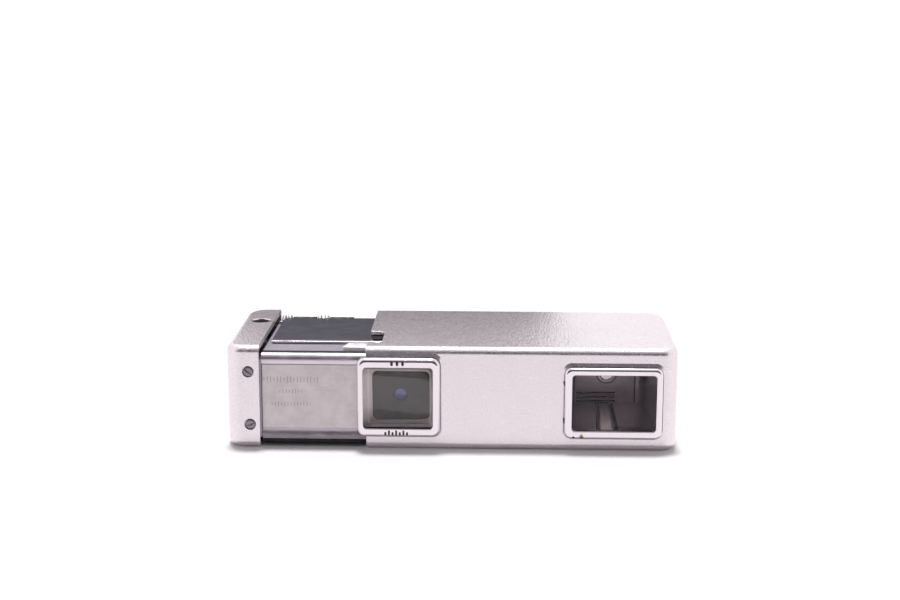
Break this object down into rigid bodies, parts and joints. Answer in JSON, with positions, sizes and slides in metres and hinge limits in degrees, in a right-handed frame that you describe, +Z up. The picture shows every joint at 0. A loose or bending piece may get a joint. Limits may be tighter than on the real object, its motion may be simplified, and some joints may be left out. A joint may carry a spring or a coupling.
{
  "type": "subminiature camera",
  "caption": "Push-pull subminiature camera: a sliding metal cover with filter and finder windows over an inner body with lens, film transport and thumbwheels.",
  "frame": {"origin": "on the standing surface, under the middle of the camera's bounding box when drawn open", "axes": "+X from the end cap to the closed end of the cover, +Y from the lens side to the eyepiece side, +Z up"},
  "size_m": [0.1074, 0.0436, 0.025],
  "materials": {
    "frosted_alloy": "fine frosted satin metal, slightly warm",
    "brushed_alloy": "satin, drawn lengthways, polished rails",
    "bright_chrome": "polished",
    "bright_steel": "ground and polished steel",
    "die_casting": "plain die casting",
    "slate_paint": "dark slate semi-matt paint",
    "black_finish": "matt black",
    "black_plastic": "matt black moulding",
    "brass": "turned brass",
    "film_base": "film",
    "clear_glass": "clear glass",
    "coated_glass": "glass with a blue-violet coating"
  },
  "bodies": {
    "inner_body": {"chassis": "die_casting", "front_plate": "brushed_alloy", "top_plate": "slate_paint", "top_trim_strip": "bright_chrome", "stop_pin": "bright_chrome", "back_plate": "brushed_alloy", "back_screw_1": "bright_steel", "back_screw_2": "bright_steel", "end_cap": "frosted_alloy", "cap_screw_front_upper": "bright_steel", "cap_screw_front_lower": "bright_steel", "cap_screw_rear_upper": "bright_steel", "cap_screw_rear_lower": "bright_steel", "release_bush": "bright_chrome", "release_spring": "bright_steel", "release_lever_pin": "bright_steel", "film_door": "brushed_alloy", "bottom_plate": "brushed_alloy", "lens_bezel": "frosted_alloy", "lens_plate": "black_finish", "lens_block": "die_casting", "lens_barrel": "black_finish", "front_lens": "coated_glass", "middle_lens": "coated_glass", "rear_lens": "coated_glass", "lens_retaining_ring": "brass", "aperture_pivot": "bright_steel", "shutter_pivot": "bright_steel", "film_gate": "black_finish", "film_strip": "film_base", "pressure_plate": "bright_steel", "pressure_spring": "bright_steel", "film_cassette": "black_plastic", "supply_roll": "film_base", "dial_bridge": "brushed_alloy"},
    "outer_cover": {"outer_cover": "frosted_alloy", "filter_frame": "bright_chrome", "filter_glass": "clear_glass", "finder_frame": "bright_chrome", "finder_front_lens": "clear_glass", "eyepiece_ring": "bright_chrome", "eyepiece_lens": "clear_glass", "advance_rack": "bright_steel", "cocking_slide": "bright_steel"},
    "release_button": {"release_button": "bright_steel"},
    "release_lever": {"release_lever": "brass"},
    "aperture_dial": {"aperture_dial": "bright_steel"},
    "aperture_disc": {"aperture_disc": "black_finish"},
    "speed_dial": {"speed_dial": "bright_steel"},
    "shutter_blade": {"shutter_blade": "bright_steel"},
    "film_advance": {"advance_pinion": "brass", "take_up_spool": "black_plastic"},
    "frame_counter": {"frame_counter": "black_finish"},
    "door_latch": {"door_latch": "bright_steel"}
  },
  "joints": [
    {"name": "cover_slide", "type": "slide", "parent": "inner_body", "child": "outer_cover", "axis": [1, 0, 0], "range_m": [-0.0251, 0]},
    {"name": "release_press", "type": "slide", "parent": "inner_body", "child": "release_button", "axis": [0, 0, -1], "range_m": [0, 0.0008], "stiffness_N_per_m": 500, "springref_m": -0.001, "deforming": ["release_spring"]},
    {"name": "release_lever_rock", "type": "hinge", "parent": "inner_body", "child": "release_lever", "pos_m": [-0.0489, 0.0008, 0.0201], "axis": [1, 0, 0], "range_deg": [-7.3, 0]},
    {"name": "aperture_turn", "type": "hinge", "parent": "inner_body", "child": "aperture_dial", "pos_m": [-0.0417, 0.0187, 0.02225], "axis": [1, 0, 0], "range_deg": [0, 300]},
    {"name": "aperture_disc_turn", "type": "hinge", "parent": "inner_body", "child": "aperture_disc", "pos_m": [-0.0072, -0.0106, 0.0125], "axis": [0, 1, 0], "range_deg": [0, 180.5]},
    {"name": "speed_turn", "type": "hinge", "parent": "inner_body", "child": "speed_dial", "pos_m": [-0.0317, 0.0187, 0.02225], "axis": [1, 0, 0], "range_deg": [0, 240]},
    {"name": "shutter_swing", "type": "hinge", "parent": "inner_body", "child": "shutter_blade", "pos_m": [-0.0197, -0.0099, 0.0062], "axis": [0, -1, 0], "range_deg": [0, 42], "stiffness_Nm_per_rad": 0.0004, "springref_deg": -34.38},
    {"name": "film_advance_turn", "type": "hinge", "parent": "inner_body", "child": "film_advance", "pos_m": [0.0038, 0.0108, 0.0215], "axis": [0, 0, 1], "range_deg": [-300, 0]},
    {"name": "frame_counter_turn", "type": "hinge", "parent": "inner_body", "child": "frame_counter", "pos_m": [0.0195, 0.0108, 0.0032], "axis": [0, 0, 1], "range_deg": [-15.2, 0]},
    {"name": "door_latch_slide", "type": "slide", "parent": "inner_body", "child": "door_latch", "axis": [1, 0, 0], "range_m": [0, 0.002]}
  ],
  "couplings": [
    {"joint": "release_lever_rock", "follows": "release_press", "rad_per_m": -156.25},
    {"joint": "aperture_disc_turn", "follows": "aperture_turn", "ratio": 0.6},
    {"joint": "film_advance_turn", "follows": "cover_slide", "rad_per_m": 208.33},
    {"joint": "frame_counter_turn", "follows": "cover_slide", "rad_per_m": 10.4}
  ]
}
